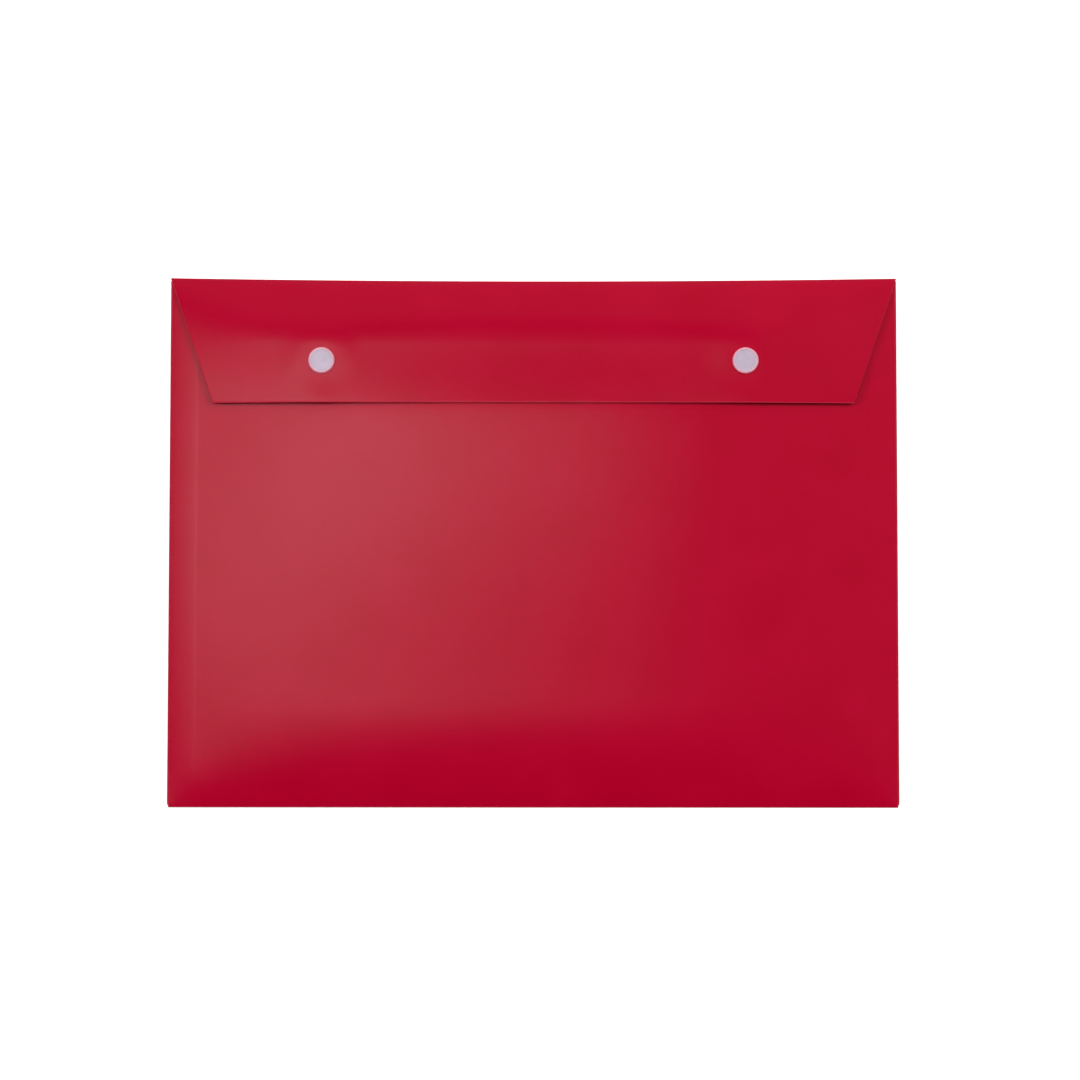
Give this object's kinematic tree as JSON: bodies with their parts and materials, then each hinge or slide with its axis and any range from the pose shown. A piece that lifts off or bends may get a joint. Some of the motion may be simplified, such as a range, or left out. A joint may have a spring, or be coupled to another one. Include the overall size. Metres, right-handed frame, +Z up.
{
  "type": "document wallet",
  "caption": "Flat plastic document wallet with a crowned pocket, welded side tabs and a hinged trapezium flap that closes on press studs.",
  "frame": {"origin": "middle of the back panel's outer face, on the table that the wallet lies on", "axes": "+X along the flap to the right as seen from the front, +Y in the sheet towards the top fold, +Z up from the table towards the flap"},
  "size_m": [0.33, 0.24, 0.0105],
  "materials": {
    "red_sheet": "satin polypropylene sheet with a fine orange-peel grain",
    "stud_plastic": "moulded natural plastic, milky and slightly translucent"
  },
  "bodies": {
    "pocket": {"back_panel": "red_sheet", "bottom_fold": "red_sheet", "front_panel": "red_sheet", "left_side_fold": "red_sheet", "left_side_tab": "red_sheet", "right_side_fold": "red_sheet", "right_side_tab": "red_sheet", "top_fold": "red_sheet", "left_stud": "stud_plastic", "left_inner_cap": "stud_plastic", "right_stud": "stud_plastic", "right_inner_cap": "stud_plastic"},
    "flap": {"flap": "red_sheet", "left_flap_cap": "stud_plastic", "left_socket": "stud_plastic", "right_flap_cap": "stud_plastic", "right_socket": "stud_plastic"}
  },
  "joints": [
    {"name": "flap_hinge", "type": "hinge", "parent": "pocket", "child": "flap", "pos_m": [0, 0.11925, 0.00075], "axis": [-1, 0, 0], "range_deg": [0, 149], "deforming": ["top_fold"]}
  ]
}
